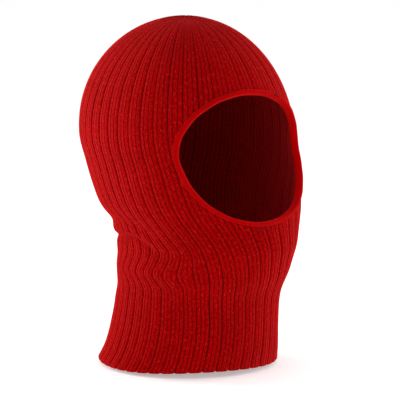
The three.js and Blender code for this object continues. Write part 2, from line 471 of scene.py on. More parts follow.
class NodeSheet:
    """A short way to build a node tree: every call makes one node and returns an output."""

    def __init__(self, tree: bpy.types.NodeTree) -> None:
        """Starts on an empty tree."""
        self.tree = tree
        tree.nodes.clear()

    def node(self, kind: str, inputs: dict | None = None, **settings: object) -> bpy.types.Node:
        """Makes a node, sets its properties and feeds its inputs.

        Args:
            kind: The node's type name.
            inputs: Values or outputs by input name or number.
            settings: Properties of the node.

        Returns:
            The node.
        """
        made = self.tree.nodes.new(kind)
        for name, value in settings.items():
            setattr(made, name, value)
        for key, value in (inputs or {}).items():
            self.feed(made.inputs[key], value)
        return made

    def feed(self, socket: bpy.types.NodeSocket, value: object) -> None:
        """Links an output to a socket, or sets its plain value.

        Args:
            socket: The input.
            value: An output of another node, or a plain value.
        """
        if isinstance(value, bpy.types.NodeSocket):
            self.tree.links.new(value, socket)
        else:
            socket.default_value = value

    def math(self, operation: str, *values: object, clamp: bool = False) -> bpy.types.NodeSocket:
        """A math node.

        Args:
            operation: The node's operation.
            values: Outputs or plain numbers, in the order of its inputs.
            clamp: Whether the result is kept between 0 and 1.

        Returns:
            The node's output.
        """
        inputs = dict(enumerate(values))
        made = self.node("ShaderNodeMath", inputs, operation=operation, use_clamp=clamp)
        return made.outputs[0]

    def from_middle(self, share: object) -> bpy.types.NodeSocket:
        """Distance of a share from one half: 0 in the middle, 1 at both ends."""
        return self.math("MULTIPLY", self.math("ABSOLUTE", self.math("SUBTRACT", share, 0.5)), 2.0)

    def scale(self, vector: object, factor: object) -> bpy.types.NodeSocket:
        """A vector times a number."""
        made = self.node("ShaderNodeVectorMath", {0: vector, "Scale": factor}, operation="SCALE")
        return made.outputs["Vector"]

    def stretch(self, vector: object, factors: Sequence[float]) -> bpy.types.NodeSocket:
        """A vector times three numbers."""
        made = self.node("ShaderNodeVectorMath", {0: vector, 1: tuple(factors)}, operation="MULTIPLY")
        return made.outputs["Vector"]

    def step(self, value: object, low: object, high: object) -> bpy.types.NodeSocket:
        """A soft step from 0 at low to 1 at high."""
        inputs = {0: value, 1: low, 2: high, 3: 0.0, 4: 1.0}
        return self.node("ShaderNodeMapRange", inputs, interpolation_type="SMOOTHSTEP").outputs[0]

    def noise(self, vector: object, scale: object, detail: float = 2.0) -> bpy.types.NodeSocket:
        """A noise from 0 to 1."""
        inputs = {"Vector": vector, "Scale": scale, "Detail": detail, "Roughness": 0.6}
        return self.node("ShaderNodeTexNoise", inputs).outputs[0]

    def mix(self, factor: object, first: object, second: object) -> bpy.types.NodeSocket:
        """A blend of two colours.

        Args:
            factor: The second colour's share.
            first: The first colour.
            second: The second colour.

        Returns:
            The blended colour.
        """
        made = self.node("ShaderNodeMix", data_type="RGBA")
        self.feed(made.inputs[0], factor)
        self.feed(made.inputs[6], first)
        self.feed(made.inputs[7], second)
        return made.outputs[2]


def group_tree(
    name: str, kind: str, inputs: Iterable[tuple], outputs: Iterable[tuple]
) -> bpy.types.NodeTree:
    """Makes a node group with named sockets.

    Args:
        name: The group's name.
        kind: ShaderNodeTree or GeometryNodeTree.
        inputs: Name, socket type and default of each input.
        outputs: Name and socket type of each output.

    Returns:
        The empty group.
    """
    tree = bpy.data.node_groups.new(name, kind)
    for label, socket, default in inputs:
        made = tree.interface.new_socket(label, in_out="INPUT", socket_type=socket)
        if default is not None:
            made.default_value = default
    for label, socket in outputs:
        tree.interface.new_socket(label, in_out="OUTPUT", socket_type=socket)
    return tree


FLOAT = "NodeSocketFloat"
VECTOR = "NodeSocketVector"
GEOMETRY = "NodeSocketGeometry"
MATERIAL = "NodeSocketMaterial"


class ClothShaders:
    """The shared shader groups: knit stitches and yarn fibres."""

    def __init__(self) -> None:
        """Builds both groups once."""
        self.stitches = self.build_stitches()
        self.fibres = self.build_fibres()

    @staticmethod
    def build_stitches() -> bpy.types.NodeTree:
        """A knit's stitches from a map in wales and courses.

        Returns:
            The group: the stitches' height, the gaps between loops and the lines between wales.
        """
        inputs = [("Map", VECTOR, None), ("Slant", FLOAT, 0.55)]
        outputs = [("Height", FLOAT), ("Gap", FLOAT), ("Seam", FLOAT)]
        tree = group_tree("knit_stitches", "ShaderNodeTree", inputs, outputs)
        sheet = NodeSheet(tree)
        entry = sheet.node("NodeGroupInput")
        split = sheet.node("ShaderNodeSeparateXYZ", {0: entry.outputs["Map"]})
        across = sheet.math("FRACT", split.outputs["X"])
        leg = sheet.from_middle(across)
        lean = sheet.math("MULTIPLY", leg, entry.outputs["Slant"])
        along = sheet.math("MULTIPLY", sheet.math("SUBTRACT", split.outputs["Y"], lean), TURN)
        loop = sheet.math("MULTIPLY_ADD", sheet.math("COSINE", along), 0.5, 0.5)
        round_leg = sheet.math("POWER", sheet.math("SINE", sheet.math("MULTIPLY", leg, math.pi)), 0.6)
        height = sheet.math("MULTIPLY", round_leg, sheet.math("MULTIPLY_ADD", loop, 0.45, 0.55))
        seam = sheet.step(leg, 0.35, 0.95)
        gap = sheet.math("SUBTRACT", 1.0, sheet.step(height, 0.05, 0.5))
        sheet.node("NodeGroupOutput", {"Height": height, "Gap": gap, "Seam": seam})
        return tree

    @staticmethod
    def build_fibres() -> bpy.types.NodeTree:
        """Fibres of a spun yarn.

        Returns:
            The group: pale flecks and a grain along the wales, a slow unevenness and a fine fuzz.
        """
        inputs = [("Map", VECTOR, None), ("Place", VECTOR, None), ("Fleck Scale", FLOAT, 1.0)]
        outputs = [("Fleck", FLOAT), ("Cloud", FLOAT), ("Grain", FLOAT), ("Fuzz", FLOAT)]
        tree = group_tree("yarn_fibres", "ShaderNodeTree", inputs, outputs)
        sheet = NodeSheet(tree)
        entry = sheet.node("NodeGroupInput")
        streak = sheet.stretch(entry.outputs["Map"], (3.4, 0.5, 1.0))
        fleck = sheet.step(sheet.noise(streak, entry.outputs["Fleck Scale"], 3.0), 0.47, 0.78)
        cloud = sheet.noise(entry.outputs["Place"], 38.0, 3.0)
        fuzz = sheet.noise(entry.outputs["Place"], 1500.0, 2.0)
        spun = sheet.stretch(entry.outputs["Map"], (3.7, 0.9, 1.0))
        grain = sheet.step(sheet.noise(spun, 1.0, 1.0), 0.22, 0.78)
        sheet.node("NodeGroupOutput", {"Fleck": fleck, "Cloud": cloud, "Grain": grain, "Fuzz": fuzz})
        return tree


def linear(red: int, green: int, blue: int) -> tuple[float, float, float, float]:
    """A colour of the screen as the renderer's own numbers.

    Args:
        red: Red, from 0 to 255.
        green: Green, from 0 to 255.
        blue: Blue, from 0 to 255.

    Returns:
        The linear colour, with full opacity.
    """
    shares = [c / 255 for c in (red, green, blue)]
    return (*[((c + 0.055) / 1.055) ** 2.4 if c > 0.04045 else c / 12.92 for c in shares], 1.0)


@dataclass(frozen=True)
class KnitFinish:
    """A knitted cloth of spun yarn, its pattern laid by a map in wales and courses, with painted shade in
    its grooves, in the gaps between loops and between its wales.
    """

    name: str
    shaders: ClothShaders
    main: tuple[float, float, float, float]
    # The colour of the painted shade.
    shade_colour: tuple[float, float, float, float]
    fleck: tuple[float, float, float, float]
    groove_attribute: str = "groove"
    stitch_height: float = 0.35 * MM
    fuzz_height: float = 0.08 * MM
    roughness: float = 0.92
    sheen: float = 1.0
    sheen_roughness: float = 0.4
    sheen_tint: tuple[float, float, float, float] = (1.0, 0.05, 0.05, 1.0)
    fleck_share: float = 0.5
    # Strengths of the painted shade in the rib grooves, in the gaps between loops and along the lines
    # between wales.
    groove_shade: float = 0.22
    gap_shade: float = 0.22
    seam_shade: float = 0.46
    grain: float = 0.68

    def material(self) -> bpy.types.Material:
        """Builds the material.

        Returns:
            The material, ready for a piece.
        """
        made = bpy.data.materials.new(self.name)
        made.use_nodes = True
        sheet = NodeSheet(made.node_tree)
        place = sheet.node("ShaderNodeTexCoord").outputs["Object"]
        knit_map = sheet.node("ShaderNodeUVMap", uv_map="knit").outputs["UV"]
        wobble = sheet.noise(place, 420.0, 2.0)
        moved = sheet.math("MULTIPLY_ADD", wobble, 0.5, -0.25)
        shift = sheet.node("ShaderNodeCombineXYZ", {0: sheet.math("MULTIPLY", moved, 0.35), 1: moved})
        loose = sheet.node("ShaderNodeVectorMath", {0: knit_map, 1: shift.outputs[0]}, operation="ADD")
        stitches = sheet.node("ShaderNodeGroup", node_tree=self.shaders.stitches)
        sheet.feed(stitches.inputs["Map"], loose.outputs["Vector"])
        fibres = sheet.node("ShaderNodeGroup", node_tree=self.shaders.fibres)
        sheet.feed(fibres.inputs["Map"], loose.outputs["Vector"])
        sheet.feed(fibres.inputs["Place"], place)
        groove = sheet.node("ShaderNodeAttribute", attribute_name=self.groove_attribute)
        # Painted shade: depth adds up the groove mask, the gaps between loops and the lines between wales,
        # and mixes the cloth towards the shade colour there.
        in_groove = sheet.math("MULTIPLY", groove.outputs["Fac"], self.groove_shade)
        in_gap = sheet.math("MULTIPLY_ADD", stitches.outputs["Gap"], self.gap_shade, in_groove)
        depth = sheet.math("MULTIPLY_ADD", stitches.outputs["Seam"], self.seam_shade, in_gap, clamp=True)
        cloth = sheet.mix(depth, self.main, self.shade_colour)
        # The pale fibre flecks are kept off the painted shade.
        share = sheet.math("MULTIPLY", fibres.outputs["Fleck"], self.fleck_share)
        ridge = sheet.math("SUBTRACT", 1.0, depth)
        flecked = sheet.mix(sheet.math("MULTIPLY", share, ridge), cloth, self.fleck)
        uneven = sheet.math("MULTIPLY_ADD", fibres.outputs["Cloud"], 0.36, 0.82)
        grain = sheet.math("MULTIPLY_ADD", fibres.outputs["Grain"], self.grain, 1 - self.grain / 2)
        colour = sheet.scale(flecked, sheet.math("MULTIPLY", uneven, grain))
        raised = sheet.math("MULTIPLY", stitches.outputs["Height"], self.stitch_height)
        hairy = sheet.math("MULTIPLY_ADD", fibres.outputs["Fuzz"], self.fuzz_height, raised)
        bump = sheet.node("ShaderNodeBump", {"Height": hairy, "Strength": 1.0, "Distance": 1.0})
        rough = sheet.math("MULTIPLY_ADD", fibres.outputs["Fuzz"], 0.08, self.roughness - 0.04)
        shader = sheet.node("ShaderNodeBsdfPrincipled", {
            "Base Color": colour, "Roughness": rough, "Normal": bump.outputs["Normal"],
            "Specular IOR Level": 0.0, "Sheen Weight": self.sheen,
            "Sheen Roughness": self.sheen_roughness, "Sheen Tint": self.sheen_tint,
        })
        sheet.node("ShaderNodeOutputMaterial", {"Surface": shader.outputs[0]})
        return made


@dataclass(frozen=True)
class ThreadFinish:
    """A twisted thread or yarn: fine slanted plies over Object coordinates."""

    name: str
    main: tuple[float, float, float, float]
    # The colour of the painted shade between the plies, also used for the random darker hairs.
    shade_colour: tuple[float, float, float, float]
    ply: float = 1.1 * MM
    roughness: float = 0.7
    gloss: float = 0.08
    sheen: float = 0.25
    sheen_tint: tuple[float, float, float, float] = (1.0, 0.07, 0.07, 1.0)

    def material(self) -> bpy.types.Material:
        """Builds the material.

        Returns:
            The material, ready for a piece.
        """
        made = bpy.data.materials.new(self.name)
        made.use_nodes = True
        sheet = NodeSheet(made.node_tree)
        place = sheet.node("ShaderNodeTexCoord").outputs["Object"]
        split = sheet.node("ShaderNodeSeparateXYZ", {0: place})
        level = sheet.math("ADD", split.outputs["X"], split.outputs["Y"])
        slant = sheet.math("ADD", level, split.outputs["Z"])
        wave = sheet.math("SINE", sheet.math("MULTIPLY", slant, TURN / self.ply))
        ply = sheet.math("MULTIPLY_ADD", wave, 0.5, 0.5)
        hair = sheet.noise(place, 2600.0, 2.0)
        share = sheet.math("MULTIPLY", ply, sheet.math("MULTIPLY_ADD", hair, 0.5, 0.6), clamp=True)
        # Painted shade: the shade colour lies in the valleys between the plies; the random hair noise also
        # darkens the crests a little.
        colour = sheet.mix(share, self.shade_colour, self.main)
        height = sheet.math("MULTIPLY", share, 0.07 * MM)
        bump = sheet.node("ShaderNodeBump", {"Height": height, "Strength": 1.0, "Distance": 1.0})
        rough = sheet.math("MULTIPLY_ADD", hair, 0.12, self.roughness - 0.06)
        shader = sheet.node("ShaderNodeBsdfPrincipled", {
            "Base Color": colour, "Roughness": rough, "Normal": bump.outputs["Normal"],
            "Specular IOR Level": self.gloss, "Sheen Weight": self.sheen, "Sheen Tint": self.sheen_tint,
        })
        sheet.node("ShaderNodeOutputMaterial", {"Surface": shader.outputs[0]})
        return made


@dataclass(frozen=True)
class SatinFinish:
    """A woven satin label: fine threads both ways, with a soft gloss."""

    name: str
    main: tuple[float, float, float, float]
    # The colour of the painted shade between the threads, also used for the random cloud.
    shade_colour: tuple[float, float, float, float]
    threads: float = 4200.0

    def material(self) -> bpy.types.Material:
        """Builds the material.

        Returns:
            The material, ready for a piece.
        """
        made = bpy.data.materials.new(self.name)
        made.use_nodes = True
        sheet = NodeSheet(made.node_tree)
        place = sheet.node("ShaderNodeTexCoord").outputs["Object"]
        split = sheet.node("ShaderNodeSeparateXYZ", {0: place})
        warp = sheet.math("SINE", sheet.math("MULTIPLY", split.outputs["X"], self.threads * TURN / 2))
        weft = sheet.math("SINE", sheet.math("MULTIPLY", split.outputs["Z"], self.threads * TURN / 4))
        weave = sheet.math("MULTIPLY_ADD", sheet.math("MULTIPLY", warp, weft), 0.5, 0.5)
        cloud = sheet.noise(place, 300.0, 3.0)
        share = sheet.math("MULTIPLY", weave, sheet.math("MULTIPLY_ADD", cloud, 0.6, 0.5), clamp=True)
        # Painted shade: the shade colour lies where the woven threads dip, mixed with a random darker
        # cloud.
        colour = sheet.mix(share, self.shade_colour, self.main)
        bump = sheet.node("ShaderNodeBump", {
            "Height": sheet.math("MULTIPLY", weave, 0.03 * MM), "Strength": 1.0, "Distance": 1.0,
        })
        rough = sheet.math("MULTIPLY_ADD", cloud, 0.2, 0.36)
        shader = sheet.node("ShaderNodeBsdfPrincipled", {
            "Base Color": colour, "Roughness": rough, "Normal": bump.outputs["Normal"],
            "Specular IOR Level": 0.45, "Sheen Weight": 0.1,
        })
        sheet.node("ShaderNodeOutputMaterial", {"Surface": shader.outputs[0]})
        return made


# --------------------------------------------------------------------------- geometry node trees


class ClothGeometry:
    """The geometry node trees: rib relief, running stitches and a run of thread."""

    def __init__(self) -> None:
        """Builds the trees once."""
        self.relief = self.build_relief()
        self.stitches = self.build_stitches()
        self.thread = self.build_thread()

    @staticmethod
    def build_relief() -> bpy.types.NodeTree:
        """Raises ribs on a smooth cloth from each point's rib number.

        Returns:
            The tree, which also keeps the grooves as a mask for the material's painted shade.
        """
        inputs = [
            ("Geometry", GEOMETRY, None), ("Groove Depth", FLOAT, 0.9 * MM), ("Groove Width", FLOAT, 0.19),
            ("Crown", FLOAT, 0.3 * MM), ("Wales", FLOAT, 3.0), ("Wale Depth", FLOAT, 0.42 * MM),
            ("Unevenness", FLOAT, 0.4 * MM), ("Material", MATERIAL, None),
        ]
        tree = group_tree("rib_relief", "GeometryNodeTree", inputs, [("Geometry", GEOMETRY)])
        sheet = NodeSheet(tree)
        entry = sheet.node("NodeGroupInput").outputs

        def stored(name: str, kind: str = "FLOAT") -> bpy.types.NodeSocket:
            """Reads a value that the cloth carries on its points."""
            return sheet.node("GeometryNodeInputNamedAttribute", {0: name}, data_type=kind).outputs[0]

        place = sheet.node("GeometryNodeInputPosition").outputs[0]
        height = sheet.node("ShaderNodeSeparateXYZ", {0: place}).outputs["Z"]
        phase = sheet.math("FRACT", stored("rib"))
        from_middle = sheet.from_middle(phase)
        shoulder = sheet.math("SUBTRACT", 1.0, entry["Groove Width"])
        groove = sheet.step(from_middle, shoulder, 1.0)
        nearest = sheet.math("ROUND", stored("rib"))
        spot = sheet.node("ShaderNodeCombineXYZ", {0: nearest, 1: sheet.math("MULTIPLY", height, 14.0)})
        drawn = sheet.math("MULTIPLY_ADD", sheet.noise(spot.outputs[0], 0.73, 0.0), 2.3, -0.2)
        groove = sheet.math("MULTIPLY", groove, drawn)
        crown = sheet.math("MULTIPLY", sheet.math("POWER", from_middle, 2.0), entry["Crown"])
        in_wale = sheet.math("FRACT", sheet.math("MULTIPLY", phase, entry["Wales"]))
        near_edge = sheet.from_middle(in_wale)
        wale = sheet.math("MULTIPLY", sheet.step(near_edge, 0.3, 1.0), entry["Wale Depth"])
        sunk = sheet.math("ADD", sheet.math("MULTIPLY", groove, entry["Groove Depth"]), crown)
        sunk = sheet.math("ADD", sunk, wale)
        uneven = sheet.math("SUBTRACT", sheet.noise(place, 55.0, 3.0), 0.5)
        sunk = sheet.math("ADD", sunk, sheet.math("MULTIPLY", uneven, entry["Unevenness"]))
        move = sheet.math("MULTIPLY", sheet.math("MULTIPLY", sunk, stored("relief")), -1.0)
        offset = sheet.scale(stored("outward", "FLOAT_VECTOR"), move)
        # The groove mask is kept for the painted shade in the material.
        set_mask = sheet.node("GeometryNodeStoreNamedAttribute", {
            "Geometry": entry["Geometry"], "Name": "groove", "Value": groove,
        }, data_type="FLOAT", domain="POINT")
        moved = sheet.node("GeometryNodeSetPosition", {"Geometry": set_mask.outputs[0], "Offset": offset})
        real = sheet.node("GeometryNodeRealizeInstances", {0: moved.outputs[0]})
        dressed = sheet.node("GeometryNodeSetMaterial", {
            "Geometry": real.outputs[0], "Material": entry["Material"],
        })
        sheet.node("NodeGroupOutput", {0: dressed.outputs[0]})
        return tree

    @staticmethod
    def build_stitches() -> bpy.types.NodeTree:
        """Lays single stitches end to end along a line, flat on the cloth that it lies on.

        Returns:
            The tree, for a line whose points carry the direction out of the cloth.
        """
        inputs = [
            ("Geometry", GEOMETRY, None), ("Pitch", FLOAT, 3 * MM), ("Length", FLOAT, 2.6 * MM),
            ("Thickness", FLOAT, 0.5 * MM), ("Material", MATERIAL, None),
        ]
        tree = group_tree("running_stitches", "GeometryNodeTree", inputs, [("Geometry", GEOMETRY)])
        sheet = NodeSheet(tree)
        entry = sheet.node("NodeGroupInput").outputs
        path = sheet.node("GeometryNodeMeshToCurve", {0: entry["Geometry"]})
        spaced = sheet.node("GeometryNodeResampleCurve", {
            "Curve": path.outputs[0], "Length": entry["Pitch"],
        }, mode="LENGTH")
        grain = sheet.node("GeometryNodeMeshUVSphere", {"Segments": 8, "Rings": 6, "Radius": 0.5})
        size = sheet.node("ShaderNodeCombineXYZ", {
            0: entry["Length"], 1: entry["Thickness"], 2: entry["Thickness"],
        })
        stitch = sheet.node("GeometryNodeTransform", {
            "Geometry": grain.outputs[0], "Scale": size.outputs[0],
        })
        tangent = sheet.node("GeometryNodeInputTangent").outputs[0]
        outward = sheet.node("GeometryNodeInputNamedAttribute", {0: "outward"}, data_type="FLOAT_VECTOR")
        along = sheet.node("FunctionNodeAlignRotationToVector", {"Vector": tangent}, axis="X")
        flat = sheet.node("FunctionNodeAlignRotationToVector", {
            "Rotation": along.outputs[0], "Vector": outward.outputs[0],
        }, axis="Z", pivot_axis="X")
        laid = sheet.node("GeometryNodeInstanceOnPoints", {
            "Points": spaced.outputs[0], "Instance": stitch.outputs[0], "Rotation": flat.outputs[0],
        })
        real = sheet.node("GeometryNodeRealizeInstances", {0: laid.outputs[0]})
        dressed = sheet.node("GeometryNodeSetMaterial", {
            "Geometry": real.outputs[0], "Material": entry["Material"],
        })
        sheet.node("NodeGroupOutput", {0: dressed.outputs[0]})
        return tree

    @staticmethod
    def build_thread() -> bpy.types.NodeTree:
        """Runs one round thread along a line of edges.

        Returns:
            The tree.
        """
        inputs = [
            ("Geometry", GEOMETRY, None), ("Thickness", FLOAT, 0.5 * MM), ("Material", MATERIAL, None),
        ]
        tree = group_tree("thread_run", "GeometryNodeTree", inputs, [("Geometry", GEOMETRY)])
        sheet = NodeSheet(tree)
        entry = sheet.node("NodeGroupInput").outputs
        path = sheet.node("GeometryNodeMeshToCurve", {0: entry["Geometry"]})
        radius = sheet.math("MULTIPLY", entry["Thickness"], 0.5)
        circle = sheet.node("GeometryNodeCurvePrimitiveCircle", {"Resolution": 7, "Radius": radius})
        tube = sheet.node("GeometryNodeCurveToMesh", {
            "Curve": path.outputs[0], "Profile Curve": circle.outputs[0], "Fill Caps": True,
        })
        real = sheet.node("GeometryNodeRealizeInstances", {0: tube.outputs[0]})
        dressed = sheet.node("GeometryNodeSetMaterial", {
            "Geometry": real.outputs[0], "Material": entry["Material"],
        })
        sheet.node("NodeGroupOutput", {0: dressed.outputs[0]})
        return tree

    @staticmethod
    def grow(
        base: bpy.types.Object, tree: bpy.types.NodeTree, values: dict[str, object]
    ) -> bpy.types.Object:
        """Runs a tree on an object and keeps the result as plain mesh.

        Args:
            base: The object that the tree starts from; its mesh is replaced.
            tree: One of the trees of this class.
            values: The modifier's inputs by name.

        Returns:
            The same object with its grown mesh and no modifier.
        """
        modifier = base.modifiers.new(tree.name, "NODES")
        modifier.node_group = tree
        named = {i.name: i.identifier for i in tree.interface.items_tree if i.in_out == "INPUT"}
        for name, value in values.items():
            modifier[named[name]] = value
        depsgraph = bpy.context.evaluated_depsgraph_get()
        grown = bpy.data.meshes.new_from_object(base.evaluated_get(depsgraph))
        base.modifiers.remove(modifier)
        old = base.data
        grown.name = base.name
        base.data = grown
        bpy.data.meshes.remove(old)
        base.data.shade_smooth()
        return base


def line_object(name: str, points: np.ndarray, outward: np.ndarray, closed: bool) -> bpy.types.Object:
    """A line of edges that carries the direction out of the cloth.

    Args:
        name: The piece's name.
        points: The line's points, in order.
        outward: The direction out of the cloth at each point.
        closed: Whether the last point joins the first.

    Returns:
        The line's object.
    """
    count = len(points)
    edges = [(i, (i + 1) % count) for i in range(count if closed else count - 1)]
    piece = mesh_object(name, points, [], edges)
    write_point_attribute(piece.data, "outward", outward)
    return piece


# --------------------------------------------------------------------------- the knit


@dataclass
class KnitBody:
    """The hood and neck tube: a rib knit, open at the hem, the face and the crown's eye."""

    shape: MaskShape
    drape: Drape
    flow: RibFlow
    geometry: ClothGeometry
    finish: KnitFinish
    neck_rows: int = 57
    dome_rows: int = 34
    drawn_eye: float = 2.0 * MM
    wales: int = 3
    course: float = 1.75 * MM
    hem_wave: float = 0.9 * MM
    hem_wave_reach: float = 9 * MM
    groove_depth: float = 0.9 * MM
    groove_width: float = 0.19
    wale_depth: float = 0.42 * MM
    unevenness: float = 0.4 * MM
    crown_round: float = 0.30 * MM
    pleats: int = 14
    pleat_depth: float = 1.3 * MM
    pleat_reach: float = 21 * MM
    stops: tuple[float, ...] = (0.0, 0.06, 0.14, 0.24, 0.333, 0.42, 0.5, 0.58, 0.667, 0.76, 0.86, 0.94)

    def levels(self) -> list[tuple[float, float, float]]:
        """The rows of the grid, from the rolled hem to the crown's eye.

        Returns:
            Height, outer depth and inner depth of each row.
        """
        wall, hem = self.shape.wall, self.shape.hem
        rolled = [(0.0, 1.15 * MM, 1.9 * MM), (0.35 * MM, 0.45 * MM, 2.6 * MM), (1.2 * MM, 0.0, wall)]
        rows = [(hem + up, outer, inner) for up, outer, inner in rolled]
        heights = np.linspace(rows[-1][0], self.shape.widest, 2000)
        weight = 1 + 1.9 * bell(heights, self.drape.crease, 11 * MM)
        weight = weight + 0.6 * bell(heights, self.drape.slack_level, 16 * MM)
        total = np.concatenate([[0.0], np.cumsum(weight[1:])])
        even = np.interp(np.linspace(0, total[-1], self.neck_rows + 1), total, heights)
        rows += [(z, 0.0, wall) for z in even[1:]]
        last = math.acos(self.drawn_eye / self.shape.half_width)
        for i in range(1, self.dome_rows + 1):
            turn = last * (i / self.dome_rows)
            rows.append((self.shape.widest + self.shape.dome_height * math.sin(turn), 0.0, wall))
        return rows

    def columns(self) -> np.ndarray:
        """Rib numbers of the columns, once round."""
        return np.array([rib + stop for rib in range(self.flow.ribs) for stop in self.stops])

    def grid(self) -> dict[str, np.ndarray]:
        """The whole cloth as a grid, before the face opening is cut.

        Returns:
            Angle, height, rib number, course and depths, each as rows of points.
        """
        levels, ribs = self.levels(), self.columns()
        angle = np.array([self.flow.columns(z, ribs) for z, _, _ in levels])
        height = np.array([np.full(len(ribs), z) for z, _, _ in levels])
        scallop = np.abs(ribs % 1.0 - 0.5) * 2
        fade = np.clip(1 - (height - self.shape.hem) / self.hem_wave_reach, 0, 1) ** 2
        height = height + self.hem_wave * (scallop**6)[None, :] * fade
        height = height + self.hem_wave * fade * np.sin(3 * angle + 0.6)
        climb = np.zeros(len(levels))
        for i in range(1, len(levels)):
            side = np.array([math.pi / 2])
            below = self.shape.outside(side, np.array([levels[i - 1][0]]))
            above = self.shape.outside(side, np.array([levels[i][0]]))
            climb[i] = climb[i - 1] + float(np.linalg.norm(above - below))
        course = np.repeat((climb / self.course)[:, None], len(ribs), axis=1)
        outer = np.repeat(np.array([o for _, o, _ in levels])[:, None], len(ribs), axis=1)
        inner = np.repeat(np.array([i for _, _, i in levels])[:, None], len(ribs), axis=1)
        rib = np.repeat(ribs[None, :], len(levels), axis=0)
        return {"angle": angle, "z": height, "rib": rib, "course": course, "outer": outer, "inner": inner}

    def cut(self, grid: dict[str, np.ndarray]) -> tuple[dict[str, np.ndarray], list[list[int]]]:
        """Cuts the face opening out of the grid, with new points on its outline.

        Args:
            grid: The grid of the whole cloth.

        Returns:
            The flat values of all points, and the faces that stay, as lists of point numbers.
        """
        rows, count = grid["angle"].shape
        flat = {key: list(value.ravel()) for key, value in grid.items()}
        edge_margin = self.shape.tape + self.shape.clearance
        turned = (grid["angle"] + math.pi) % TURN - math.pi
        share = self.shape.opening_share(turned, grid["z"], edge_margin).ravel()
        made: dict[tuple[int, int], int] = {}

        def crossing(first: int, second: int) -> int:
            """The point where one grid edge meets the opening's outline.

            Args:
                first: Number of the point at one end.
                second: Number of the point at the other end.

            Returns:
                The new point's number.
            """
            key = (min(first, second), max(first, second))
            if key not in made:
                low, high = key
                part = (1 - share[low]) / (share[high] - share[low])
                for name, values in flat.items():
                    start, end = values[low], values[high]
                    if name == "angle":
                        end = start + (end - start + math.pi) % TURN - math.pi
                    if name == "rib":
                        lap = self.flow.ribs
                        end = start + (end - start + lap / 2) % lap - lap / 2
                    values.append(start + (end - start) * part)
                made[key] = len(flat["angle"]) - 1
            return made[key]

        faces: list[list[int]] = []
        for r in range(rows - 1):
            for c in range(count):
                d = (c + 1) % count
                corners = [r * count + c, r * count + d, (r + 1) * count + d, (r + 1) * count + c]
                kept = [share[i] >= 1 for i in corners]
                if all(kept):
                    faces.append(corners)
                elif any(kept):
                    face = []
                    for i, corner in enumerate(corners):
                        after = (i + 1) % 4
                        if kept[i]:
                            face.append(corner)
                        if kept[i] != kept[after]:
                            face.append(crossing(corner, corners[after]))
                    faces.append(face)
        return {key: np.array(values) for key, values in flat.items()}, faces

    def place(self, flat: dict[str, np.ndarray], side: Side) -> tuple[np.ndarray, np.ndarray]:
        """Lays one face of the cloth.

        Args:
            flat: The flat values of all points.
            side: The face to lay.

        Returns:
            The points, and the direction out of the cloth at each.
        """
        angle, z = flat["angle"], flat["z"]
        out, rise = self.drape.bend(angle, z)
        depth = flat["outer"] if side is Side.OUTER else flat["inner"]
        points = self.shape.skin(angle, z, depth - out)
        points[:, 2] += rise
        crown = np.hypot(points[:, 0], points[:, 1] - self.shape.crown_setback)
        gather = bell(crown, 0.0, self.pleat_reach) * (z > self.shape.widest)
        wave = np.cos(self.pleats * angle + 0.8 * np.sin(2 * angle))
        normal = self.shape.outward(angle, z)
        points += normal * (gather * (wave - 1) * self.pleat_depth / 2)[:, None]
        return points, normal

    def relief(self, flat: dict[str, np.ndarray], side: Side) -> np.ndarray:
        """How strong the ribs are: soft where stretched, on the roll and near the crown.

        Args:
            flat: The flat values of all points.
            side: The face of the cloth.

        Returns:
            A share for each point, negative on the inner face.
        """
        z, angle = flat["z"], flat["angle"]
        level = self.shape.outside(angle, z)
        radius = np.hypot(level[:, 0], level[:, 1] - self.shape.crown_setback)
        strength = smooth(3 * MM, 60 * MM, radius) * (0.74 + 0.26 * smooth(-120 * MM, -215 * MM, z))
        strength = strength * (0.55 + 0.45 * np.clip((z - self.shape.hem) / (5 * MM), 0, 1))
        turned = (angle + math.pi) % TURN - math.pi
        clear = self.shape.opening_share(turned, z, self.shape.binding_leg)
        strength = strength * (0.35 + 0.65 * smooth(1.0, 1.16, clear))
        return strength if side is Side.OUTER else -0.6 * strength

    def build(self) -> bpy.types.Object:
        """Builds the knit, raises its ribs and dresses it.

        Returns:
            The finished piece.
        """
        flat, outer_faces = self.cut(self.grid())
        outer, out_normal = self.place(flat, Side.OUTER)
        inner, _ = self.place(flat, Side.INNER)
        count = len(outer)
        used: dict[tuple[int, int], int] = {}
        for face in outer_faces:
            for first, second in zip(face, face[1:] + face[:1]):
                used[(first, second)] = used.get((first, second), 0) + 1
        rims = [edge for edge in used if (edge[1], edge[0]) not in used]
        faces = [face[::-1] for face in outer_faces]
        faces += [[i + count for i in face] for face in outer_faces]
        faces += [[a, b, b + count, a + count] for a, b in rims]
        keep = np.zeros(2 * count, bool)
        keep[[i for face in faces for i in face]] = True
        number = np.cumsum(keep) - 1
        faces = [[int(number[i]) for i in face] for face in faces]
        points = np.concatenate([outer, inner])[keep]
        piece = mesh_object("rib_knit_hood", points, faces)
        both = {key: np.concatenate([value, value])[keep] for key, value in flat.items()}
        relief = np.concatenate([self.relief(flat, Side.OUTER), self.relief(flat, Side.INNER)])[keep]
        write_point_attribute(piece.data, "rib", both["rib"])
        write_point_attribute(piece.data, "relief", relief)
        write_point_attribute(piece.data, "outward", np.concatenate([out_normal, out_normal])[keep])
        inside = (np.arange(2 * count) >= count)[keep]
        self.map_cloth(piece.data, both, inside)
        self.geometry.grow(piece, self.geometry.relief, {
            "Groove Depth": self.groove_depth, "Groove Width": self.groove_width,
            "Crown": self.crown_round, "Wales": float(self.wales), "Wale Depth": self.wale_depth,
            "Unevenness": self.unevenness, "Material": self.finish.material(),
        })
        settle(piece, "rib_knit", "knit_body")
        return piece

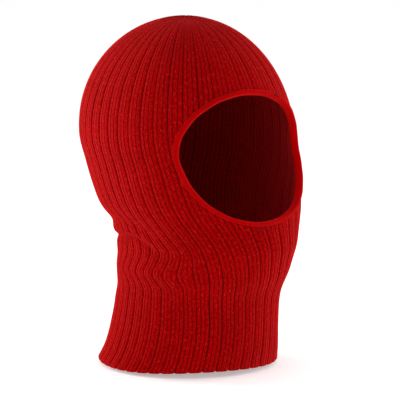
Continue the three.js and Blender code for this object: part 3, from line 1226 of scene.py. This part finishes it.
    def map_cloth(self, mesh: bpy.types.Mesh, both: dict[str, np.ndarray], inside: np.ndarray) -> None:
        """Lays the knit's map, in wales and courses, and the flat map for baking.

        Args:
            mesh: The cloth's mesh.
            both: The values of its points.
            inside: Which points lie on the inner face.
        """
        corners = np.zeros(len(mesh.loops), np.int64)
        mesh.loops.foreach_get("vertex_index", corners)
        starts = np.zeros(len(mesh.polygons), np.int64)
        mesh.polygons.foreach_get("loop_start", starts)
        face_of = np.zeros(len(corners), np.int64)
        face_of[starts[1:]] = 1
        face_of = np.cumsum(face_of)
        rib = both["rib"][corners]
        first = rib[starts][face_of]
        lap = self.flow.ribs
        rib = first + (rib - first + lap / 2) % lap - lap / 2
        course = both["course"][corners]
        write_uv(mesh, "knit", np.stack([rib * self.wales, course], axis=1))
        across = (rib + 1) / (lap + 2) * 0.48 + np.where(inside[corners], 0.51, 0.01)
        write_uv(mesh, "OFBake", np.stack([across, 0.01 + 0.98 * course / both["course"].max()], axis=1))


# --------------------------------------------------------------------------- the face binding


@dataclass
class FaceBinding:
    """The tape folded over the raw edge of the opening, its seam stitches and its tack."""

    shape: MaskShape
    geometry: ClothGeometry
    finish: KnitFinish
    thread: bpy.types.Material
    steps: int = 420
    length: float = 400 * MM
    flat_width: float = 15.5 * MM
    wale: float = 0.75 * MM
    course: float = 0.7 * MM
    leg: float = 3.8 * MM
    seam_margin: float = 2.75 * MM
    fold_round: float = 0.9 * MM
    pucker: float = 0.10 * MM
    puckers: int = 128
    looseness: float = 0.14 * MM
    needle_stitch: float = 2.9 * MM
    thread_thickness: float = 0.34 * MM
    loops: int = 132
    loop_reach: float = 0.75 * MM
    tack_turn: float = math.radians(205)
    tack_length: float = 7 * MM
    tack_passes: int = 15

    @property
    def face_depth(self) -> float:
        """Depth of the tape's outer face."""
        return -(self.shape.clearance + self.shape.tape)

    def profile(self) -> np.ndarray:
        """The tape's section, once round, rounded at the fold and sunk at the seam.

        Returns:
            Margin and depth of each point of the section.
        """
        wall, gap, leg, seam = self.shape.wall, self.shape.clearance, self.leg, self.seam_margin
        near, far = self.face_depth, wall - self.face_depth
        middle, half = (near + far) / 2, (far - near) / 2
        bend = np.linspace(math.pi / 2, -math.pi / 2, 9)
        fold = [(self.fold_round * (1 - math.cos(a)), middle - half * math.sin(a)) for a in bend]
        outer = [
            (1.7 * MM, near - 0.25 * MM), (seam - 0.6 * MM, near - 0.05 * MM), (seam, near + 0.3 * MM),
            (seam + 0.5 * MM, near + 0.15 * MM), (leg - 0.3 * MM, near + 0.3 * MM), (leg, near + 0.8 * MM),
        ]
        under = [(leg - 0.2 * MM, -gap), (seam, -gap), (self.shape.tape, -gap)]
        behind = [(margin, wall - depth) for margin, depth in outer + under]
        return np.array(fold + behind + under[::-1] + outer[::-1])

    def build(self) -> None:
        """Builds the tape, its seam and its tack."""
        tape = self.build_tape()
        needle = self.build_needle_seam()
        looper = self.build_looper_seam()
        tack = self.build_tack()

    def build_tape(self) -> bpy.types.Object:
        """Builds the folded tape, with the small puckers that the seam draws in.

        Returns:
            The finished piece.
        """
        turns = np.arange(self.steps) / self.steps * TURN
        profile = self.profile()
        rings = []
        for margin, depth in profile:
            near_seam = math.exp(-(((margin - self.seam_margin) / (1.4 * MM)) ** 2))
            pucker = self.pucker * np.cos(turns * self.puckers)
            if depth < self.shape.wall / 2:
                pucker = pucker + self.looseness * (np.sin(turns * 9 + 1.0) + np.sin(turns * 23))
            angle, z = self.shape.opening(turns, margin + 0.12 * MM * np.sin(turns * 17))
            rings.append(self.shape.skin(angle, z, depth + pucker * near_seam))
        points = np.array(rings).reshape(-1, 3)
        sides, steps = len(profile), self.steps
        faces = []
        for s in range(sides):
            t = (s + 1) % sides
            for i in range(steps):
                n = (i + 1) % steps
                faces.append((s * steps + i, s * steps + n, t * steps + n, t * steps + i))
        piece = mesh_object("face_opening_binding", points, faces)
        turn_faces_out(piece.data)
        self.map_tape(piece.data, profile)
        piece.data.materials.append(self.finish.material())
        return settle(piece, "binding_tape", "face_binding")

    def map_tape(self, mesh: bpy.types.Mesh, profile: np.ndarray) -> None:
        """Lays the tape's map: fine wales round its section and courses along it.

        Args:
            mesh: The tape's mesh.
            profile: The tape's section.
        """
        steps, sides = self.steps, len(profile)
        walk = np.linalg.norm(np.diff(np.vstack([profile, profile[:1]]), axis=0), axis=1)
        around = np.concatenate([[0.0], np.cumsum(walk)])
        knit, bake = [], []
        for face in mesh.polygons:
            rows = [v // steps for v in face.vertices]
            turns = [v % steps for v in face.vertices]
            wraps_side = max(rows) - min(rows) > sides / 2
            wraps_turn = max(turns) - min(turns) > steps / 2
            for row, turn in zip(rows, turns):
                row = sides if wraps_side and row == 0 else row
                turn = steps if wraps_turn and turn == 0 else turn
                knit.append((around[row] / self.wale, turn / steps * self.length / self.course))
                bake.append((0.02 + 0.96 * turn / steps, 0.02 + 0.96 * around[row] / around[-1]))
        write_uv(mesh, "knit", np.array(knit))
        write_uv(mesh, "OFBake", np.array(bake))

    def build_needle_seam(self) -> bpy.types.Object:
        """Lays the stitches on the outside of the tape.

        Returns:
            The finished piece.
        """
        turns = np.arange(self.steps) / self.steps * TURN
        angle, z = self.shape.opening(turns, np.full_like(turns, self.seam_margin))
        points = self.shape.skin(angle, z, self.face_depth + 0.2 * MM)
        line = line_object("binding_needle_stitches", points, self.shape.outward(angle, z), closed=True)
        self.geometry.grow(line, self.geometry.stitches, {
            "Pitch": self.needle_stitch, "Length": self.needle_stitch * 0.9,
            "Thickness": self.thread_thickness, "Material": self.thread,
        })
        return settle(line, "red_thread", "binding_needle_thread")

    def build_looper_seam(self) -> bpy.types.Object:
        """Runs the looped thread on the inside of the tape.

        Returns:
            The finished piece.
        """
        count = self.steps * 6
        turns = np.arange(count) / count * TURN
        margin = self.seam_margin + self.loop_reach * np.sin(turns * self.loops)
        angle, z = self.shape.opening(turns, margin)
        over = 0.3 * MM + 0.18 * MM * np.cos(2 * turns * self.loops)
        points = self.shape.skin(angle, z, self.shape.wall - self.face_depth + over)
        line = line_object("binding_looper_loops", points, -self.shape.outward(angle, z), closed=True)
        self.geometry.grow(line, self.geometry.thread, {
            "Thickness": self.thread_thickness, "Material": self.thread,
        })
        return settle(line, "red_thread", "binding_looper_thread")

    def build_tack(self) -> bpy.types.Object:
        """Runs the dense zigzag over the place where the tape's ends meet.

        Returns:
            The finished piece.
        """
        half = self.tack_length / 2 / self.shape.opening_half_height
        count = self.tack_passes * 2 + 1
        along = np.linspace(-half, half, count)
        low, high = self.shape.tape, self.seam_margin - 0.6 * MM
        margin = np.where(np.arange(count) % 2 == 0, low, high)
        angle, z = self.shape.opening(self.tack_turn + along, margin)
        points = self.shape.skin(angle, z, self.face_depth - 0.32 * MM)
        line = line_object("binding_tack_stitches", points, self.shape.outward(angle, z), closed=False)
        self.geometry.grow(line, self.geometry.thread, {
            "Thickness": self.thread_thickness * 1.1, "Material": self.thread,
        })
        return settle(line, "red_thread", "binding_bartack")


# --------------------------------------------------------------------------- crown and label


@dataclass
class CrownGather:
    """The yarn drawn up through the last loops of the crown, with its knot inside."""

    shape: MaskShape
    yarn: bpy.types.Material
    geometry: ClothGeometry
    yarn_thickness: float = 1.2 * MM
    ring_radius: float = 2.9 * MM
    ply_radius: float = 0.5 * MM
    below: float = 1.0 * MM
    plies: int = 2
    twists: int = 9
    strand_turns: tuple[float, ...] = (0.2, 0.85, 1.5, 2.1, 2.75)
    knot_size: float = 0.33 * MM
    knot_height: float = 0.42 * MM

    def build(self) -> None:
        """Builds the ring of twisted yarn, the strands across it and the knot."""
        low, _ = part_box("crown_gather_yarn")
        centre = np.array([0.0, self.shape.crown_setback, low[2] - self.below])
        ring = self.ring_radius
        lines = [self.twisted(ring, phase * TURN / self.plies, centre) for phase in range(self.plies)]
        lines += [self.strand(centre, ring, turn) for turn in self.strand_turns]
        lines.append(self.knot(centre + np.array([ring, 0.0, -1.3 * MM])))
        parts = []
        for i, (points, closed) in enumerate(lines):
            up = np.tile((0.0, 0.0, 1.0), (len(points), 1))
            line = line_object(f"gather_line_{i}", points, up, closed)
            parts.append(self.geometry.grow(line, self.geometry.thread, {
                "Thickness": self.yarn_thickness, "Material": self.yarn,
            }))
        piece = parts[0]
        chosen = {"active_object": piece, "object": piece, "selected_editable_objects": parts}
        with bpy.context.temp_override(**chosen):
            bpy.ops.object.join()
        piece.name = "crown_gather_strands"
        settle(piece, "red_yarn", "crown_gather_yarn")

    def twisted(self, radius: float, phase: float, centre: np.ndarray) -> tuple[np.ndarray, bool]:
        """One ply of the ring.

        Args:
            radius: The ring's radius.
            phase: Where the ply starts in its twist.
            centre: The ring's middle.

        Returns:
            The ply's points, and that it is closed.
        """
        turn = np.arange(120) / 120 * TURN
        twist = turn * self.twists + phase
        away = radius + self.ply_radius * np.cos(twist)
        rise = self.ply_radius * np.sin(twist)
        return np.stack([away * np.cos(turn), away * np.sin(turn), rise], axis=1) + centre, True

    def strand(self, centre: np.ndarray, radius: float, turn: float) -> tuple[np.ndarray, bool]:
        """One strand drawn across the eye.

        Args:
            centre: The ring's middle.
            radius: The ring's radius.
            turn: The strand's direction.

        Returns:
            The strand's points, and that it is open.
        """
        along = np.linspace(-1, 1, 12)
        sag = 0.7 * MM * (along**2) - 0.4 * MM + 0.35 * MM * math.sin(turn * 5)
        points = np.stack([radius * along * math.cos(turn), radius * along * math.sin(turn), -sag], axis=1)
        return points + centre, False

    def knot(self, centre: np.ndarray) -> tuple[np.ndarray, bool]:
        """A small overhand knot.

        Args:
            centre: The knot's middle.

        Returns:
            The knot's points, and that it is closed.
        """
        turn = np.arange(60) / 60 * TURN
        x = self.knot_size * (np.sin(turn) + 2 * np.sin(2 * turn))
        y = self.knot_size * (np.cos(turn) - 2 * np.cos(2 * turn))
        return np.stack([x, y, -self.knot_height * np.sin(3 * turn)], axis=1) + centre, True


@dataclass
class CareLabel:
    """The blank satin label inside the back of the neck, and its two lines of stitches."""

    shape: MaskShape
    geometry: ClothGeometry
    satin: bpy.types.Material
    thread: bpy.types.Material
    width: float = 34 * MM
    height: float = 24 * MM
    thickness: float = 0.7 * MM
    rise: float = 14 * MM
    inset: float = 3 * MM
    wave: float = 0.35 * MM
    stitch: float = 1.9 * MM
    stitch_pitch: float = 2.2 * MM
    stitch_thickness: float = 0.42 * MM
    columns: int = 36
    rows: int = 26
    neck_reach: float = 69 * MM

    def spot(self, across: np.ndarray, up: np.ndarray) -> tuple[np.ndarray, np.ndarray]:
        """Angle and height of a place on the label, from its middle and from the hem."""
        return math.pi + across / self.neck_reach, self.shape.hem + up

    def build(self) -> None:
        """Builds the label and its stitches."""
        label = self.build_label()
        left = self.build_line("label_stitches_left", -1, "label_stitch_left")
        right = self.build_line("label_stitches_right", 1, "label_stitch_right")

    def build_label(self) -> bpy.types.Object:
        """A thin pad with soft edges and a slight wave between its stitches.

        Returns:
            The finished piece.
        """
        columns, rows = self.columns, self.rows
        across = np.linspace(-self.width / 2, self.width / 2, columns + 1)
        up = np.linspace(self.rise, self.rise + self.height, rows + 1)
        grid_a, grid_u = np.meshgrid(across, up)
        angle, z = self.spot(grid_a.ravel(), grid_u.ravel())
        edge_a = np.abs(grid_a.ravel()) / (self.width / 2)
        edge_u = np.abs(grid_u.ravel() - self.rise - self.height / 2) / (self.height / 2)
        thin = 1 - 0.7 * np.maximum(edge_a, edge_u) ** 14
        between = 1 - np.clip(edge_a / 0.82, 0, 1) ** 2
        lift = self.wave * between * (0.6 + 0.4 * np.sin(grid_u.ravel() / (3.2 * MM)))
        near = self.shape.wall + self.shape.clearance
        middle = near + self.thickness / 2 + lift
        back = self.shape.skin(angle, z, middle - self.thickness * 0.45 * thin)
        front = self.shape.skin(angle, z, middle + self.thickness * 0.45 * thin)
        count = len(back)

        def at(r: int, c: int) -> int:
            """The number of a grid point."""
            return r * (columns + 1) + c

        faces = []
        for r in range(rows):
            for c in range(columns):
                quad = [at(r, c), at(r, c + 1), at(r + 1, c + 1), at(r + 1, c)]
                faces.append(quad)
                faces.append([i + count for i in quad[::-1]])
        rim = [at(0, c) for c in range(columns)] + [at(r, columns) for r in range(rows)]
        rim += [at(rows, c) for c in range(columns, 0, -1)] + [at(r, 0) for r in range(rows, 0, -1)]
        for first, second in zip(rim, rim[1:] + rim[:1]):
            faces.append([second, first, first + count, second + count])
        piece = mesh_object("neck_label", np.concatenate([back, front]), faces)
        turn_faces_out(piece.data)
        piece.data.materials.append(self.satin)
        return settle(piece, "label_satin", "care_label")

    def build_line(self, name: str, side: int, node: str) -> bpy.types.Object:
        """One line of short stitches down the label's side.

        Args:
            name: The piece's name.
            side: -1 or 1, for the label's two sides.
            node: The plain solid that it stands for.

        Returns:
            The finished piece.
        """
        up = np.linspace(self.rise + 1 * MM, self.rise + self.height - 1 * MM, 40)
        across = np.full_like(up, side * (self.width / 2 - self.inset))
        angle, z = self.spot(across, up)
        near = self.shape.wall + self.shape.clearance + self.thickness + 0.15 * MM
        points = self.shape.skin(angle, z, near)
        line = line_object(name, points, -self.shape.outward(angle, z), closed=False)
        self.geometry.grow(line, self.geometry.stitches, {
            "Pitch": self.stitch_pitch, "Length": self.stitch,
            "Thickness": self.stitch_thickness, "Material": self.thread,
        })
        return settle(line, "red_thread", node)


# --------------------------------------------------------------------------- studio


@dataclass(frozen=True)
class Studio:
    """A plain pale floor, four soft lights, an even surround and the camera."""

    azimuth: float = math.radians(-36)
    elevation: float = math.radians(8)
    distance: float = 2.5
    target: tuple[float, float, float] = (0.0, 0.0, -0.150)
    aim_right: float = 11.4 * MM
    aim_down: float = 8.3 * MM
    field: float = 349.3 * MM
    sensor: float = 36.0
    floor_reach: float = 12.0
    floor_gap: float = 2 * MM
    floor_glow: float = 0.36
    surround: float = 0.68

    @property
    def right(self) -> Vector:
        """Level direction to the camera's right."""
        return Vector((math.cos(self.azimuth), math.sin(self.azimuth), 0.0))

    @property
    def front(self) -> Vector:
        """Level direction from the mask towards the camera."""
        return Vector((math.sin(self.azimuth), -math.cos(self.azimuth), 0.0))

    def build(self) -> None:
        """Sets the camera, the floor, the lights and the world."""
        self.build_camera()
        self.build_floor()
        self.build_world()
        side, front, up = self.right, self.front, Vector((0.0, 0.0, 1.0))
        self.build_light("key", -0.5 * side + 1.3 * front + 0.75 * up, 1.1, 1.5)
        self.build_light("left_rim", -1.3 * side - 0.75 * front + 0.2 * up, 0.9, 21.0)
        self.build_light("right_rim", 1.3 * side - 0.6 * front + 0.2 * up, 0.9, 12.0)
        self.build_light("top", 0.1 * side + 0.2 * front + 1.5 * up, 1.0, 1.5)

    def build_camera(self) -> None:
        """The camera, moved sideways without turning so that the view stays the same."""
        data = bpy.data.cameras.new("camera")
        data.sensor_width = self.sensor
        data.lens = self.sensor * self.distance / self.field
        data.clip_start, data.clip_end = 0.05, 50.0
        camera = bpy.data.objects.new("camera", data)
        bpy.context.scene.collection.objects.link(camera)
        back = self.front * math.cos(self.elevation)
        back.z = math.sin(self.elevation)
        aim = Vector(self.target) + self.right * self.aim_right
        aim -= back.cross(self.right) * self.aim_down
        camera.location = aim + back * self.distance
        camera.rotation_mode = "QUATERNION"
        camera.rotation_quaternion = (-back).to_track_quat("-Z", "Y")
        bpy.context.scene.camera = camera

    def build_floor(self) -> None:
        """A wide pale floor under the hem."""
        low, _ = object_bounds()
        level = low[2] - self.floor_gap
        square = [(-1, -1), (1, -1), (1, 1), (-1, 1)]
        corners = np.array([(x * self.floor_reach, y * self.floor_reach, level) for x, y in square])
        floor = mesh_object("studio_floor", corners, [(0, 1, 2, 3)])
        made = bpy.data.materials.new("pale_floor")
        made.use_nodes = True
        sheet = NodeSheet(made.node_tree)
        place = sheet.node("ShaderNodeTexCoord").outputs["Object"]
        rough = sheet.math("MULTIPLY_ADD", sheet.noise(place, 3.0), 0.1, 0.8)
        shader = sheet.node("ShaderNodeBsdfPrincipled", {
            "Base Color": (0.93, 0.93, 0.93, 1), "Roughness": rough,
            "Emission Color": (1.0, 1.0, 1.0, 1.0), "Emission Strength": self.floor_glow,
        })
        sheet.node("ShaderNodeOutputMaterial", {"Surface": shader.outputs[0]})
        floor.data.materials.append(made)
        floor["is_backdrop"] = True

    def build_world(self) -> None:
        """An even surround that is seen as plain white."""
        world = bpy.data.worlds.new("studio")
        world.use_nodes = True
        sheet = NodeSheet(world.node_tree)
        seen = sheet.node("ShaderNodeLightPath").outputs["Is Camera Ray"]
        strength = sheet.math("MULTIPLY_ADD", seen, 1 - self.surround, self.surround)
        glow = sheet.node("ShaderNodeBackground", {"Color": (1.0, 1.0, 1.0, 1.0), "Strength": strength})
        sheet.node("ShaderNodeOutputWorld", {"Surface": glow.outputs[0]})
        bpy.context.scene.world = world
        bpy.context.scene.view_settings.view_transform = "Standard"

    def build_light(self, name: str, place: Vector, size: float, power: float) -> None:
        """A soft square light that looks at the middle of the mask.

        Args:
            name: The light's name.
            place: Where it stands, from the middle of the mask.
            size: Its side.
            power: Its power in watts.
        """
        data = bpy.data.lights.new(name, "AREA")
        data.shape, data.size, data.energy = "SQUARE", size, power
        lamp = bpy.data.objects.new(name, data)
        bpy.context.scene.collection.objects.link(lamp)
        lamp.location = Vector(self.target) + place
        lamp.rotation_mode = "QUATERNION"
        lamp.rotation_quaternion = (-place).to_track_quat("-Z", "Y")


# --------------------------------------------------------------------------- the whole mask


def write_size() -> None:
    """Brings the view layer up to date.
    """
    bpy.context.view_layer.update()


def main() -> None:
    """Builds every part of the mask in order."""
    logging.basicConfig(level=logging.INFO, format="%(name)s %(message)s")
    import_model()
    shape, drape = MaskShape(), Drape()
    flow = RibFlow(shape, drape)
    shaders, geometry = ClothShaders(), ClothGeometry()
    # The second colour of each finish is the colour of its painted shade.
    knit_finish = KnitFinish(
        "red_rib_knit", shaders, linear(157, 0, 2), linear(58, 0, 0), linear(224, 40, 40),
    )
    tape_finish = KnitFinish(
        "red_binding_jersey", shaders, linear(190, 0, 2), linear(128, 0, 1), linear(220, 34, 34),
        stitch_height=0.16 * MM, fuzz_height=0.07 * MM, fleck_share=0.25, roughness=0.88, grain=0.32,
        gap_shade=0.25, seam_shade=0.3, sheen=0.6,
    )
    thread = ThreadFinish("red_thread", linear(178, 14, 16), linear(110, 4, 6)).material()
    yarn = ThreadFinish(
        "red_yarn", linear(170, 12, 14), linear(96, 3, 5), ply=1.6 * MM, roughness=0.9,
    ).material()
    satin = SatinFinish("white_satin", linear(240, 238, 232), linear(206, 203, 196)).material()
    knit = KnitBody(shape, drape, flow, geometry, knit_finish).build()
    FaceBinding(shape, geometry, tape_finish, thread).build()
    CrownGather(shape, yarn, geometry).build()
    CareLabel(shape, geometry, satin, thread).build()
    Studio().build()
    write_size()


if __name__ == "__main__":
    main()
